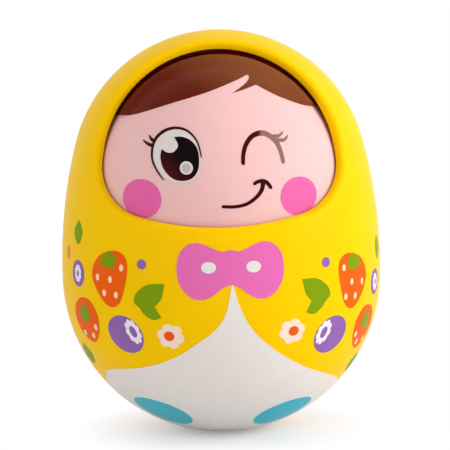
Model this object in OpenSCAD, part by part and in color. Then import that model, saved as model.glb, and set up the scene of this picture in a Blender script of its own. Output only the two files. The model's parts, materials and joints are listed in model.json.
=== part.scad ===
// Roly poly doll: an egg of two moulded shells with a heavy base, a nodding head that shows
// through the opening of the hood, and a chime bell on a frame inside.
// The doll faces -Y and stands on the small flat of its round base, at z = 0.

/* [Egg body] */
// Overall height of the doll
body_h = 115; // [111:0.5:119]
// Radius of the round rocking base
base_r = 45.7; // [44.5:0.1:47.5]
// Radius of the rounded crown of the hood
crown_r = 42.4; // [41:0.1:43.4]
// Radius of the long curve that joins the base to the crown
flank_r = 140; // [120:1:180]
// Radius of the flat under the base
foot_r = 6; // [4:0.5:8]
// Wall thickness of the front and back shells
wall = 2.4; // [2:0.1:2.8]

/* [Face opening] */
// Height of hood above the top edge of the opening
hood_lip = 5.4; // [4.8:0.05:6]
// Height of the opening
opening_h = 46.4; // [45.5:0.05:47.5]
// Radius of the arch over the forehead
opening_r = 32; // [31:0.05:33]
// Radius of the shallow curve under the chin
chin_r = 100; // [80:1:130]
// Radius of the two lower corners beside the cheeks
corner_r = 12.8; // [11:0.1:14]
// Radius of the rounded edge of the hood
hood_edge_r = 1.5; // [0.8:0.1:1.8]

/* [Head] */
// Room between the crown of the head and the inside of the hood
hood_gap = 4.7; // [4:0.1:6]
// Least running gap between the head and the shells
head_gap = 0.6; // [0.4:0.05:1]
// How far the head reaches into the wall at the chin
chin_seat = 0.75; // [0.4:0.05:1]
// Distance of the nod axis below the centre of the crown
nod_drop = 0.6; // [0:0.1:1.5]
// Depth of the flat floor of the head below the nod axis
head_depth = 24; // [22:0.5:26]
// Wall thickness of the head shells
head_wall = 2; // [1.6:0.1:2.4]
// Largest nod either way, in degrees
nod_limit = 12; // [8:0.5:14]
// Half height of the nod stop lug behind the head
lug_half_h = 2; // [1.5:0.1:3]
// How far the lug stands out of the head
lug_reach = 2; // [1.5:0.1:3]
// Half width of the lug and of the ribs that stop it
lug_half_w = 3; // [2:0.1:5]
// Thickness of the stop ribs
stop_t = 2; // [1.6:0.1:3]

/* [Nod axle] */
// Radius of the steel axle
axle_r = 1.5; // [1.2:0.1:1.8]
// Running clearance of the axle in its bearings and of the clapper on its pin
axle_gap = 0.08; // [0.04:0.01:0.1]
// Room for a bearing between the side of the head and the shell
bearing_room = 6.7; // [6:0.1:7.5]
// Gap between the side of the head and the bearing
side_gap = 0.8; // [0.7:0.05:1.2]
// Height of a bearing block
bearing_h = 16; // [14:0.5:18]
// Depth of a bearing block in front of the axle
bearing_d = 6; // [5:0.5:8]
// Thickness of the keeper that closes a bearing
keeper_t = 4; // [3:0.1:5]

/* [Shell fasteners] */
// Height of the two lower shell screws
low_screw_z = 26; // [24:0.5:30]
// Height of the two upper shell screws
high_screw_z = 51; // [49:0.5:52]
// Distance of each shell screw from the outside of the egg
screw_setback = 8.3; // [8.1:0.1:8.8]
// Depth of the seat of a shell screw behind the parting line
screw_seat = 12; // [8:0.5:14]
// Length of a shell screw under its head
shell_screw_l = 22; // [18:0.5:24]
// Radius of a shell screw's shank
shell_screw_r = 1.4; // [1.2:0.1:1.6]
// Wall round a screw hole or well
boss_wall = 1.2; // [1:0.1:1.6]
// Height of the locating lip on the parting line
lip_h = 2; // [1.5:0.1:2.5]
// Thickness of the locating lip
lip_t = 1; // [0.8:0.05:1.3]

/* [Base weight] */
// Height of the flat top of the weight above the ground
weight_top = 12; // [10:0.5:14]
// How far the ledge of the shells reaches over the weight
ledge_over = 2.2; // [1.5:0.1:3]
// Thickness of that ledge
ledge_t = 1.8; // [1.4:0.1:2.4]

/* [Head weight] */
// Radius of the steel slug that brings the face upright
slug_r = 10; // [8:0.5:12]
// Height of the slug
slug_h = 9; // [7:0.5:11]
// Thickness of the collar round the slug and of its lip
collar_t = 1.6; // [1.2:0.1:2]
// How far the collar's lip reaches over the slug
collar_over = 1.5; // [1:0.1:2]

/* [Bell] */
// Radius of the dome of the bell
bell_r = 10.6; // [10:0.1:11.5]
// Thickness of the bell
bell_wall = 1; // [0.8:0.05:1.2]
// How far the crown of the dome is flattened
bell_crown = 0.5; // [0.45:0.01:0.6]
// Height of the flared skirt of the bell
skirt_h = 4.9; // [4:0.1:5.5]
// How far the skirt flares out
skirt_flare = 1.8; // [1.5:0.1:2.5]
// Radius of the ball of the clapper
ball_r = 4.8; // [4:0.1:4.9]
// Distance of the clapper's pin below the inside of the bell
pin_drop = 3.5; // [3.2:0.1:3.8]
// Distance from the clapper's pin to the middle of its ball
clapper_arm = 9; // [8.5:0.1:9.2]
// Radius of the clapper's stem
stem_r = 1; // [0.8:0.05:1.2]
// Thickness of the clapper's eye
eye_t = 2.2; // [1.8:0.1:2.4]
// Radius of the clapper's pin
pin_r = 0.75; // [0.6:0.05:0.9]

/* [Bell frame] */
// Height of the frame above the weight
frame_h = 24; // [23:0.5:26]
// Thickness of the foot ring, the posts and the bar
frame_t = 3; // [2.4:0.1:3.4]
// Depth of the posts and the bar from front to back
frame_d = 9; // [7:0.5:10]
// Distance of the posts from the middle
post_x = 16.5; // [15.5:0.1:17]
// Radius of the hole in the foot ring
ring_hole_r = 14; // [12:0.5:15]
// Radius of the threaded stud that hangs the bell
stud_r = 2; // [1.6:0.1:2.2]

/* [Hidden] */
$fn = 96;

// Fits: a pin pressed home, a hole round a screw or stud, a seated piece in its pocket, a moving
// stop, a screw's head in its well, a lip beside an axle or a bearing
press_gap = 0.05;
hole_gap = 0.1;
seat_gap = 0.2;
stop_gap = 0.3;
well_gap = 0.4;
lip_gap = 2;
// How far a cutter runs past the face that it opens
past = 1;

// Egg profile: base arc, flank arc and crown arc, each tangent to the next
base_z = sqrt(base_r * base_r - foot_r * foot_r);
crown_z = body_h - crown_r;
arc_rise = crown_z - base_z;
flank_up = (arc_rise * arc_rise + (crown_r - base_r) * (2 * flank_r - base_r - crown_r)) / (2 * arc_rise);
flank_z = base_z + flank_up;
flank_x = sqrt(pow(flank_r - base_r, 2) - flank_up * flank_up);
base_dir = [flank_x, base_z - flank_z] / (flank_r - base_r);
crown_dir = [flank_x, crown_z - flank_z] / (flank_r - crown_r);
reach = 2 * body_h;

// Radius of the egg at a height, drawn in by an inset
function egg_r(z, inset = 0) =
    z < base_z + (base_r - inset) * base_dir[1] ? sqrt(pow(base_r - inset, 2) - pow(z - base_z, 2)) :
    z < crown_z + (crown_r - inset) * crown_dir[1] ?
        sqrt(pow(flank_r - inset, 2) - pow(z - flank_z, 2)) - flank_x :
    sqrt(pow(crown_r - inset, 2) - pow(z - crown_z, 2));

// Outline of the opening in front view: forehead arch, corner and chin arcs, tangent in turn
opening_top = body_h - hood_lip;
chin_edge = opening_top - opening_h;
arch_z = opening_top - opening_r;
chin_z = chin_edge + chin_r;
arch_to_corner = opening_r - corner_r;
chin_to_corner = chin_r - corner_r;
arch_to_chin = chin_z - arch_z;
corner_up = (pow(arch_to_corner, 2) - pow(chin_to_corner, 2) + pow(arch_to_chin, 2)) / (2 * arch_to_chin);
corner_x = sqrt(pow(arch_to_corner, 2) - corner_up * corner_up);
corner_z = arch_z + corner_up;
arch_end = atan2(corner_up, corner_x);
corner_end = atan2(corner_z - chin_z, corner_x);
arch_steps = 24;
corner_steps = 12;
chin_steps = 8;

function arc(cx, cz, r, from, to, steps) =
    [for (i = [0 : steps - 1]) let (a = from + (to - from) * i / steps) [cx + r * cos(a), cz + r * sin(a)]];

right_side = concat(arc(0, arch_z, opening_r, 90, arch_end, arch_steps),
                    arc(corner_x, corner_z, corner_r, arch_end, corner_end, corner_steps),
                    arc(0, chin_z, chin_r, corner_end, -90, chin_steps));
left_side = [for (i = [len(right_side) - 1 : -1 : 1]) [-right_side[i][0], right_side[i][1]]];
opening = concat(right_side, [[0, chin_edge]], left_side);

// Rays from the crown's centre to the opening's outline on the inside of the hood, and the
// direction square to each that leads away from the opening
function unit(v) = v / norm(v);
opening_n = len(opening);
hood_centre = [0, 0, crown_z];
inner_edge = [for (p = opening) [p[0], -sqrt(pow(egg_r(p[1], wall), 2) - p[0] * p[0]), p[1]]];
edge_rays = [for (p = inner_edge) unit(p - hood_centre)];
edge_sides = [for (i = [0 : opening_n - 1])
              let (before = inner_edge[(i + opening_n - 1) % opening_n])
              let (after = inner_edge[(i + 1) % opening_n])
              unit(cross(edge_rays[i], after - before))];

// Ring of points round the hood's rounded edge: turn 0 on the cut wall, 90 on the outside
function edge_ring(turn) =
    [for (i = [0 : opening_n - 1])
     inner_edge[i] + (wall - hood_edge_r * (1 - sin(turn))) * edge_rays[i]
     + hood_edge_r * (1 - cos(turn)) * edge_sides[i]];

// Head: a ball with flat sides round the nod axis, which runs along X
nod_z = crown_z - nod_drop;
head_r = crown_r - wall - hood_gap;
nod_forward = egg_r(chin_edge, wall) + chin_seat - sqrt(head_r * head_r - pow(nod_z - chin_edge, 2));
nod_y = -nod_forward;
shell_x = sqrt(pow(egg_r(nod_z) - wall, 2) - nod_y * nod_y);
head_half = shell_x - bearing_room;
head_floor = nod_z - head_depth;
lug_tip = head_r + lug_reach;
stop_z = lug_tip * sin(nod_limit + asin(lug_half_h / lug_tip)) + stop_gap;
stop_y = nod_y + head_r + stop_gap;
head_screw_x = 21;
head_screw_z = 14;
head_screw_r = 1;
head_screw_l = 16;
head_screw_seat = 8;
head_screws_at = [for (x = [-1, 1], z = [-1, 1]) [x * head_screw_x, nod_z + z * head_screw_z]];

// Bearings
bearing_x = head_half + side_gap;
bearing_r = axle_r + axle_gap;
axle_end_gap = 0.7;
axle_half = shell_x - axle_end_gap;
keeper_gap = 0.3;
keeper_screw_in = 2.3;
keeper_screw_down = 3;
keeper_screw_x = bearing_x + keeper_screw_in;
keeper_screw_z = bearing_h / 2 - keeper_screw_down;
keeper_screw_r = 0.9;
keeper_screw_l = 8;

// Shell screws, as [x, z] pairs
low_screw_x = egg_r(low_screw_z) - screw_setback;
high_screw_x = egg_r(high_screw_z) - screw_setback;
shell_screws_at = [for (side = [-1, 1], p = [[low_screw_x, low_screw_z], [high_screw_x, high_screw_z]])
                   [side * p[0], p[1]]];

// Weight and the ledge over it
weight_r = base_r - wall - seat_gap;
weight_rim = sqrt(weight_r * weight_r - pow(base_z - weight_top, 2));
ledge_r = weight_rim - ledge_over;
ledge_z = weight_top + seat_gap;
lip_foot = ledge_z + ledge_t + past;

// Bell frame, from the weight up
ring_gap = 1;
ring_r = ledge_r - ring_gap;
gusset_inset = 1;
bar_z = weight_top + frame_h - frame_t;
bar_top = bar_z + frame_t;
frame_screw_n = 3;
frame_screw_circle = (ring_hole_r + ring_r) / 2;
frame_screw_r = 1.4;
frame_screw_grip = 3.4;
hole_spare = 0.3;

// Bell and clapper, hung from the bar
dome_z = bar_z - bell_r + bell_crown;
mouth_z = dome_z - skirt_h;
crown_in_z = bar_z - bell_wall;
yoke_r = 2.7;
yoke_below_pin = 2;
pin_show = 0.2;
pin_z = crown_in_z - pin_drop;
yoke_bottom = pin_z - yoke_below_pin;
slot_gap = 0.2;
eye_r = 2.2;
slot_top = pin_z + eye_r + stop_gap;
washer_t = 0.8;
washer_r = 4;
nut_h = 3.2;
nut_across = 7;
stud_show = 1;
stud_top = bar_top + washer_t + nut_h + stud_show;

// Half spaces and slabs across the front-to-back axis
module slab(y0, y1) {
    translate([-reach, y0, -reach]) cube([2 * reach, y1 - y0, 2 * reach]);
}

// Cylinder along Y from y0 to y1
module bar_y(x, z, r, y0, y1) {
    translate([x, y0, z]) rotate([-90, 0, 0]) cylinder(r = r, h = y1 - y0);
}

// Pan head screw with a cross recess, its head above z = 0 and its shank below
module screw(shank_r, length) {
    cap_r = 2 * shank_r;
    cap_h = 1.4 * shank_r;
    cross_l = 1.2 * cap_r;
    cross_w = 0.25 * cap_r;
    difference() {
        rotate_extrude()
            polygon([[0, -length], [shank_r / 2, -length], [shank_r, -length + shank_r], [shank_r, 0],
                     [cap_r, 0], [cap_r, 0.6 * cap_h], [0.7 * cap_r, cap_h], [0, cap_h]]);
        for (turn = [0, 90])
            rotate(turn)
                translate([-cross_l / 2, -cross_w / 2, 0.4 * cap_h]) cube([cross_l, cross_w, cap_h]);
    }
}

// Screw that points forward, seated at y
module screw_y(x, z, y, shank_r, length) {
    translate([x, y, z]) rotate([-90, 0, 0]) screw(shank_r, length);
}

// Egg, drawn in by an inset, as three turned sectors that share their edge cones
module egg(inset) {
    base_far = [0, base_z] + reach * base_dir;
    crown_far = [0, crown_z] + reach * crown_dir;
    rotate_extrude()
        intersection() {
            translate([0, base_z]) circle(base_r - inset);
            polygon([[0, inset], [reach, inset], base_far, [0, base_z]]);
        }
    rotate_extrude()
        intersection() {
            translate([-flank_x, flank_z]) circle(flank_r - inset, $fn = 4 * $fn);
            polygon([[0, base_z], base_far, crown_far, [0, crown_z]]);
        }
    rotate_extrude()
        intersection() {
            translate([0, crown_z]) circle(crown_r - inset);
            polygon([[0, crown_z], crown_far, [reach, crown_z + reach], [0, crown_z + reach]]);
        }
}

module egg_ring(outer, inner) {
    difference() {
        egg(outer);
        egg(inner);
    }
}

// Everything in front of the opening: a fan of rays, the rounded edge of the hood in three steps,
// whose last chord runs on past the outside, and a wide front
module opening_cutter() {
    n = opening_n;
    low = edge_ring(60);
    flush = edge_ring(90);
    proud = [for (i = [0 : n - 1]) low[i] + 3 * (flush[i] - low[i])];
    wide = [for (p = proud) hood_centre + 1.3 * (p - hood_centre)];
    rings = [edge_ring(0), edge_ring(30), low, proud, wide];
    front = [0, -1.5 * crown_r, arch_z];
    last = 2 + (len(rings) - 1) * n;
    polyhedron(
        points = concat([hood_centre, front], [for (ring = rings) each ring]),
        faces = concat([for (i = [0 : n - 1]) [0, 2 + (i + 1) % n, 2 + i]],
                       [for (from = [2 : n : last - n], i = [0 : n - 1])
                        let (a = from + i, b = from + (i + 1) % n)
                        each [[a, b + n, a + n], [a, b, b + n]]],
                       [for (i = [0 : n - 1]) [1, last + i, last + (i + 1) % n]]));
}

// Ball of the head with its flat sides, drawn in by an inset, its seam at the back
module head_ball(inset) {
    half = head_half - inset;
    translate([0, nod_y, nod_z])
        rotate([0, 90, 0])
            rotate(90)
                rotate_extrude()
                    intersection() {
                        circle(head_r - inset, $fn = 2 * $fn);
                        translate([0, -half]) square([head_r - inset, 2 * half]);
                    }
}

// Room for the head and its running gap, up to the foot of the crown, where the hood clears it
module head_room() {
    crown_foot = crown_z + (crown_r - wall) * crown_dir[1];
    intersection() {
        head_ball(-head_gap);
        translate([-reach, -reach, crown_foot - past - 2 * reach]) cube(2 * reach);
    }
}

// Ball with its flat floor
module head_block(inset) {
    intersection() {
        head_ball(inset);
        translate([-head_r, nod_y - head_r, head_floor + inset]) cube(2 * head_r);
    }
}

module head_skin() {
    difference() {
        head_block(0);
        head_block(head_wall);
    }
}

// Collar that holds the slug on the floor of the head, with a lip over its edge
module slug_collar() {
    collar_in = slug_r + seat_gap;
    collar_out = collar_in + collar_t;
    collar_h = slug_h + seat_gap;
    lip_in = slug_r - collar_over;
    translate([0, nod_y, head_floor + head_wall])
        rotate_extrude()
            polygon([[collar_in, -head_wall / 2], [collar_out, -head_wall / 2],
                     [collar_out, collar_h + collar_t], [lip_in, collar_h + collar_t],
                     [lip_in, collar_h], [collar_in, collar_h]]);
}

// Stack of cones that follows the egg from the ledge up to the crown, drawn in by an inset
module egg_cones(inset) {
    low = weight_top - wall;
    high = body_h - 2 * hood_lip;
    steps = 24;
    rotate_extrude()
        polygon(concat([[0, low]],
                       [for (i = [0 : steps]) let (z = low + (high - low) * i / steps) [egg_r(z) - inset, z]],
                       [[0, high]]));
}

// A fitting moulded in one with a shell: it ends halfway into the wall
module moulded_in() {
    intersection() {
        children();
        egg_cones(wall / 2);
    }
}

// Ledge inside the shells that traps the base weight
module weight_ledge() {
    moulded_in()
        difference() {
            translate([0, 0, ledge_z]) cylinder(r = base_r, h = ledge_t);
            translate([0, 0, ledge_z - past]) cylinder(r = ledge_r, h = ledge_t + 2 * past);
        }
}

// Lip of the back shell that slides inside the front shell, left out over the weight and
// beside the bearings
module shell_lip() {
    lip_out = wall + hole_gap;
    difference() {
        union() {
            intersection() {
                egg_ring(lip_out, lip_out + lip_t);
                slab(-lip_h, 0);
            }
            intersection() {
                egg_ring(wall / 2, lip_out + lip_t);
                slab(0, lip_h);
            }
        }
        translate([-reach, -reach, lip_foot - reach]) cube([2 * reach, 2 * reach, reach]);
        translate([-reach, -reach, nod_z - bearing_h / 2 - lip_gap])
            cube([2 * reach, 2 * reach, bearing_h + 2 * lip_gap]);
    }
}

// Bearing blocks that carry the axle on the front shell, open to the rear
module bearing_blocks() {
    for (side = [0, 1])
        mirror([side, 0, 0])
            moulded_in()
                translate([bearing_x, nod_y - bearing_d, nod_z - bearing_h / 2])
                    cube([base_r, bearing_d, bearing_h]);
}

module axle_bore() {
    bore_half = axle_half + stop_gap;
    translate([-bore_half, nod_y, nod_z]) rotate([0, 90, 0]) cylinder(r = bearing_r, h = 2 * bore_half);
}

module keeper_screw_bores() {
    for (x = [-keeper_screw_x, keeper_screw_x], z = [-keeper_screw_z, keeper_screw_z])
        bar_y(x, nod_z + z, keeper_screw_r + hole_gap, nod_y - keeper_screw_l + keeper_t - hole_gap, past);
}

module front_shell() {
    boss_r = shell_screw_r + hole_gap + boss_wall;
    bore_end = screw_seat - shell_screw_l - hole_gap;
    color("gold")
        difference() {
            union() {
                intersection() {
                    egg_ring(0, wall);
                    slab(-reach, 0);
                }
                intersection() {
                    weight_ledge();
                    slab(-reach, 0);
                }
                bearing_blocks();
                for (p = shell_screws_at)
                    moulded_in() bar_y(p[0], p[1], boss_r, -base_r, 0);
            }
            opening_cutter();
            head_room();
            axle_bore();
            keeper_screw_bores();
            for (p = shell_screws_at)
                bar_y(p[0], p[1], shell_screw_r + hole_gap, bore_end, past);
        }
}

module back_shell() {
    well_r = 2 * shell_screw_r + well_gap;
    color("goldenrod")
        difference() {
            union() {
                intersection() {
                    egg_ring(0, wall);
                    slab(0, reach);
                }
                intersection() {
                    weight_ledge();
                    slab(0, reach);
                }
                for (p = shell_screws_at)
                    moulded_in() bar_y(p[0], p[1], well_r + boss_wall, 0, base_r);
                for (z = [-stop_z - stop_t, stop_z])
                    moulded_in()
                        translate([-lug_half_w, stop_y, nod_z + z]) cube([2 * lug_half_w, base_r, stop_t]);
                shell_lip();
            }
            for (p = shell_screws_at) {
                bar_y(p[0], p[1], shell_screw_r + hole_gap, -past, screw_seat + past);
                bar_y(p[0], p[1], well_r, screw_seat, base_r);
            }
        }
}

module shell_screws() {
    color("silver")
        for (p = shell_screws_at)
            screw_y(p[0], p[1], screw_seat, shell_screw_r, shell_screw_l);
}

// Keeper on the +X side, screwed to the back of a bearing block
module axle_keeper() {
    difference() {
        intersection() {
            translate([bearing_x, nod_y, nod_z - bearing_h / 2]) cube([base_r, keeper_t, bearing_h]);
            egg_cones(wall + keeper_gap);
        }
        axle_bore();
        keeper_screw_bores();
    }
}

module right_axle_keeper() {
    color("whitesmoke") axle_keeper();
}

module left_axle_keeper() {
    color("whitesmoke") mirror([1, 0, 0]) axle_keeper();
}

module keeper_screws() {
    color("silver")
        for (x = [-keeper_screw_x, keeper_screw_x], z = [-keeper_screw_z, keeper_screw_z])
            screw_y(x, nod_z + z, nod_y + keeper_t, keeper_screw_r, keeper_screw_l);
}

module frame_screw_places() {
    for (i = [0 : frame_screw_n - 1])
        rotate(90 + i * 360 / frame_screw_n)
            translate([frame_screw_circle, 0, 0]) children();
}

module base_weight() {
    hole_depth = frame_screw_grip + hole_spare;
    color("dimgray")
        difference() {
            intersection() {
                translate([0, 0, base_z]) sphere(weight_r);
                translate([-base_r, -base_r, wall + seat_gap])
                    cube([2 * base_r, 2 * base_r, weight_top - wall - seat_gap]);
            }
            frame_screw_places()
                translate([0, 0, weight_top - hole_depth])
                    cylinder(r = frame_screw_r + hole_gap, h = hole_depth + past);
        }
}

module bell_frame() {
    gusset = ring_r - post_x - frame_t - gusset_inset;
    color("lightsteelblue")
        difference() {
            union() {
                difference() {
                    translate([0, 0, weight_top]) cylinder(r = ring_r, h = frame_t);
                    translate([0, 0, weight_top - past]) cylinder(r = ring_hole_r, h = frame_t + 2 * past);
                }
                for (side = [0, 1])
                    mirror([side, 0, 0]) {
                        translate([post_x, -frame_d / 2, weight_top])
                            cube([frame_t, frame_d, frame_h]);
                        translate([post_x + frame_t, frame_t / 2, weight_top + frame_t])
                            rotate([90, 0, 0])
                                linear_extrude(frame_t)
                                    polygon([[-past, 0], [gusset, 0], [0, 2 * gusset], [-past, 2 * gusset]]);
                    }
                translate([-post_x - past, -frame_d / 2, bar_z])
                    cube([2 * post_x + 2 * past, frame_d, frame_t]);
            }
            translate([0, 0, bar_z - past]) cylinder(r = stud_r + hole_gap, h = frame_t + 2 * past);
            frame_screw_places()
                translate([0, 0, weight_top - past])
                    cylinder(r = frame_screw_r + hole_gap, h = frame_t + 2 * past);
        }
}

module frame_screws() {
    color("silver")
        frame_screw_places()
            translate([0, 0, weight_top + frame_t]) screw(frame_screw_r, frame_t + frame_screw_grip);
}

// Bell, drawn in by an inset: round dome with a flat crown, on a flared skirt
module bell_block(inset, crown_top, mouth) {
    dome_r = bell_r - inset;
    drop = dome_z - mouth;
    rotate_extrude()
        intersection() {
            translate([0, dome_z]) circle(dome_r);
            translate([0, dome_z]) square([bell_r, crown_top - dome_z]);
        }
    translate([0, 0, mouth]) cylinder(r1 = dome_r + skirt_flare * drop / skirt_h, r2 = dome_r, h = drop);
}

module bell() {
    color("lightgray")
        difference() {
            bell_block(0, bar_z, mouth_z);
            bell_block(bell_wall, crown_in_z, mouth_z - past);
            translate([0, 0, crown_in_z - past]) cylinder(r = stud_r + hole_gap, h = bell_wall + 2 * past);
        }
}

module clapper_yoke() {
    slot = eye_t + 2 * slot_gap;
    color("silver")
        difference() {
            union() {
                translate([0, 0, yoke_bottom]) cylinder(r = yoke_r, h = crown_in_z - yoke_bottom);
                translate([0, 0, crown_in_z - past]) cylinder(r = stud_r, h = stud_top - crown_in_z + past);
            }
            translate([-yoke_r - past, -slot / 2, yoke_bottom - past])
                cube([2 * yoke_r + 2 * past, slot, slot_top - yoke_bottom + past]);
            bar_y(0, pin_z, pin_r + press_gap, -yoke_r - past, yoke_r + past);
        }
}

module yoke_washer() {
    color("gainsboro")
        translate([0, 0, bar_top])
            difference() {
                cylinder(r = washer_r, h = washer_t);
                translate([0, 0, -past]) cylinder(r = stud_r + hole_gap, h = washer_t + 2 * past);
            }
}

module yoke_nut() {
    color("silver")
        translate([0, 0, bar_top + washer_t])
            difference() {
                cylinder(d = nut_across / cos(30), h = nut_h, $fn = 6);
                translate([0, 0, -past]) cylinder(r = stud_r + hole_gap, h = nut_h + 2 * past);
            }
}

module clapper_pin() {
    pin_half = yoke_r + pin_show;
    color("silver") bar_y(0, pin_z, pin_r, -pin_half, pin_half);
}

module clapper() {
    color("lightgray")
        difference() {
            union() {
                bar_y(0, pin_z, eye_r, -eye_t / 2, eye_t / 2);
                translate([0, 0, pin_z - clapper_arm]) cylinder(r = stem_r, h = clapper_arm);
                translate([0, 0, pin_z - clapper_arm]) sphere(ball_r);
            }
            bar_y(0, pin_z, pin_r + axle_gap, -eye_t, eye_t);
        }
}

module head_axle_bore() {
    translate([-head_half - past, nod_y, nod_z])
        rotate([0, 90, 0]) cylinder(r = axle_r + press_gap, h = 2 * head_half + 2 * past);
}

module face_shell() {
    boss_r = head_screw_r + hole_gap + boss_wall;
    bore_end = nod_y + head_screw_seat - head_screw_l - hole_gap;
    color("pink")
        difference() {
            union() {
                intersection() {
                    head_skin();
                    slab(-reach, nod_y);
                }
                intersection() {
                    union() {
                        slug_collar();
                        for (p = head_screws_at)
                            bar_y(p[0], p[1], boss_r, nod_y - head_r, nod_y);
                    }
                    head_block(head_wall / 2);
                    slab(-reach, nod_y);
                }
            }
            head_axle_bore();
            for (p = head_screws_at)
                bar_y(p[0], p[1], head_screw_r + hole_gap, bore_end, nod_y + past);
        }
}

// Lip of the back of the head that slides inside the face shell, left out at the axle
module head_lip() {
    lip_out = head_wall + hole_gap;
    axle_space = axle_r + lip_gap;
    difference() {
        union() {
            intersection() {
                difference() {
                    head_ball(lip_out);
                    head_ball(lip_out + lip_t);
                }
                slab(nod_y - lip_h, nod_y);
            }
            intersection() {
                difference() {
                    head_ball(head_wall / 2);
                    head_ball(lip_out + lip_t);
                }
                slab(nod_y, nod_y + lip_h);
            }
        }
        translate([-reach, -reach, nod_z - axle_space]) cube([2 * reach, 2 * reach, 2 * axle_space]);
        translate([-reach, -reach, head_floor + 2 * head_wall - reach]) cube([2 * reach, 2 * reach, reach]);
    }
}

module head_back() {
    well_r = 2 * head_screw_r + well_gap;
    seat_y = nod_y + head_screw_seat;
    color("lightpink")
        difference() {
            union() {
                intersection() {
                    head_skin();
                    slab(nod_y, reach);
                }
                intersection() {
                    union() {
                        slug_collar();
                        for (p = head_screws_at)
                            bar_y(p[0], p[1], well_r + boss_wall, nod_y, nod_y + head_r);
                    }
                    head_block(head_wall / 2);
                    slab(nod_y, reach);
                }
                head_lip();
                translate([-lug_half_w, nod_y + head_r - head_wall, nod_z - lug_half_h])
                    cube([2 * lug_half_w, head_wall + lug_reach, 2 * lug_half_h]);
            }
            head_axle_bore();
            for (p = head_screws_at) {
                bar_y(p[0], p[1], head_screw_r + hole_gap, nod_y - past, seat_y + past);
                bar_y(p[0], p[1], well_r, seat_y, nod_y + head_r);
            }
        }
}

module head_axle() {
    color("silver")
        translate([-axle_half, nod_y, nod_z]) rotate([0, 90, 0]) cylinder(r = axle_r, h = 2 * axle_half);
}

module head_weight() {
    color("dimgray") translate([0, nod_y, head_floor + head_wall]) cylinder(r = slug_r, h = slug_h);
}

module head_screws() {
    color("silver")
        for (p = head_screws_at)
            screw_y(p[0], p[1], nod_y + head_screw_seat, head_screw_r, head_screw_l);
}

front_shell();
back_shell();
shell_screws();
left_axle_keeper();
right_axle_keeper();
keeper_screws();
base_weight();
bell_frame();
frame_screws();
bell();
clapper_yoke();
yoke_washer();
yoke_nut();
clapper_pin();
clapper();
face_shell();
head_back();
head_axle();
head_weight();
head_screws();
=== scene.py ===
import json
import math

import bpy
from mathutils import Matrix, Vector


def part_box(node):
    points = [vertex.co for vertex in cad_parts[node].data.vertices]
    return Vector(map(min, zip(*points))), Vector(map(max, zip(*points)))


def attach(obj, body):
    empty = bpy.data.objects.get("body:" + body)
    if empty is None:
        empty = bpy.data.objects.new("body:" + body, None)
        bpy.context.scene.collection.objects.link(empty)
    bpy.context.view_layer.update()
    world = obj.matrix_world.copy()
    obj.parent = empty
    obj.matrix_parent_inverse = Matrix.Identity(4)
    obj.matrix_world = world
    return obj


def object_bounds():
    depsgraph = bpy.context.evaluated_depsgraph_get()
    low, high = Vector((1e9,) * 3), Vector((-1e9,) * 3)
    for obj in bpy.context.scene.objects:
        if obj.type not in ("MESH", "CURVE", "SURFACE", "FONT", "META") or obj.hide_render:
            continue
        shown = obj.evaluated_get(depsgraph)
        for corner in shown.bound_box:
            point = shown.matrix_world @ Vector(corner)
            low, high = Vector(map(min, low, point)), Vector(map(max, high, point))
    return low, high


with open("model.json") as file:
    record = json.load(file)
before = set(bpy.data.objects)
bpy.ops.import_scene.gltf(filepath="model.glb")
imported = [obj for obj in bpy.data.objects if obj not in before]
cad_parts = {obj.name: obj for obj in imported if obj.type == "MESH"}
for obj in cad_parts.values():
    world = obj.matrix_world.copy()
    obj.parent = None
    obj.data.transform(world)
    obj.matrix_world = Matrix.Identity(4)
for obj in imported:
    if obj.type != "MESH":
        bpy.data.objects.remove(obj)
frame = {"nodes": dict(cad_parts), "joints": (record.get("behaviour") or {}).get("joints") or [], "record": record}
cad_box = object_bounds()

# Sizes of the egg and the head, in metres
MM = 0.001
HEIGHT = cad_box[1].z
BASE_R = 45.7 * MM
CROWN_R = 42.4 * MM
FLANK_R = 140 * MM
FOOT_R = 6 * MM
WALL = 2.4 * MM
NOD = Vector(next(j["pos_m"] for j in frame["joints"] if j["name"] == "head_nod"))
HEAD_R = NOD.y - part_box("face_shell")[0].y
HEAD_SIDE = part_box("face_shell")[1].x

# Outline of the hood's opening in front view
OPENING_TOP = HEIGHT - 5.4 * MM
OPENING_H = 46.4 * MM
ARCH_R = 32 * MM
CHIN_R = 100 * MM
CORNER_R = 12.8 * MM
EDGE_R = 1.5 * MM

# Smooth roll over the hood's edge: how far it stands proud, its thickness, and the distance at which its
# two ends are joined
EDGE_PROUD = 0.025 * MM
EDGE_THICK = 0.25 * MM
EDGE_JOIN = 0.002 * MM

# Where the roll starts from the cut wall, its steps, the rows under it as shares of the wall's depth, the
# rows beyond it in mm, and the reach in mm at which it would lie flush with the egg
EDGE_START = math.radians(12)
EDGE_STEPS = 10
WALL_ROWS = (0.3, 0.6, 0.9)
OUTER_ROWS = (0.4, 0.8, 1.2, 1.6, 2.0, 2.4)
FLUSH_AT = 3

# Steps of the opening's arch, of each corner and of half the chin
ARCH_STEPS = 72
CORNER_STEPS = 36
CHIN_STEPS = 28

# Heights between which the hood's edge comes to cover the cut wall under it, clear of the chin's seat
WALL_FROM = 80 * MM
WALL_FULL = 90 * MM

# Printed ink: how far a film is sunk, how far each layer stands out, and the size of its facets
INK_SUNK = 0.03 * MM
INK_STEP = 0.04 * MM
INK_CELL = 2.5 * MM

# Faces that meet at less than this angle are shaded as one
SMOOTH_ANGLE = math.radians(40)

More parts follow.
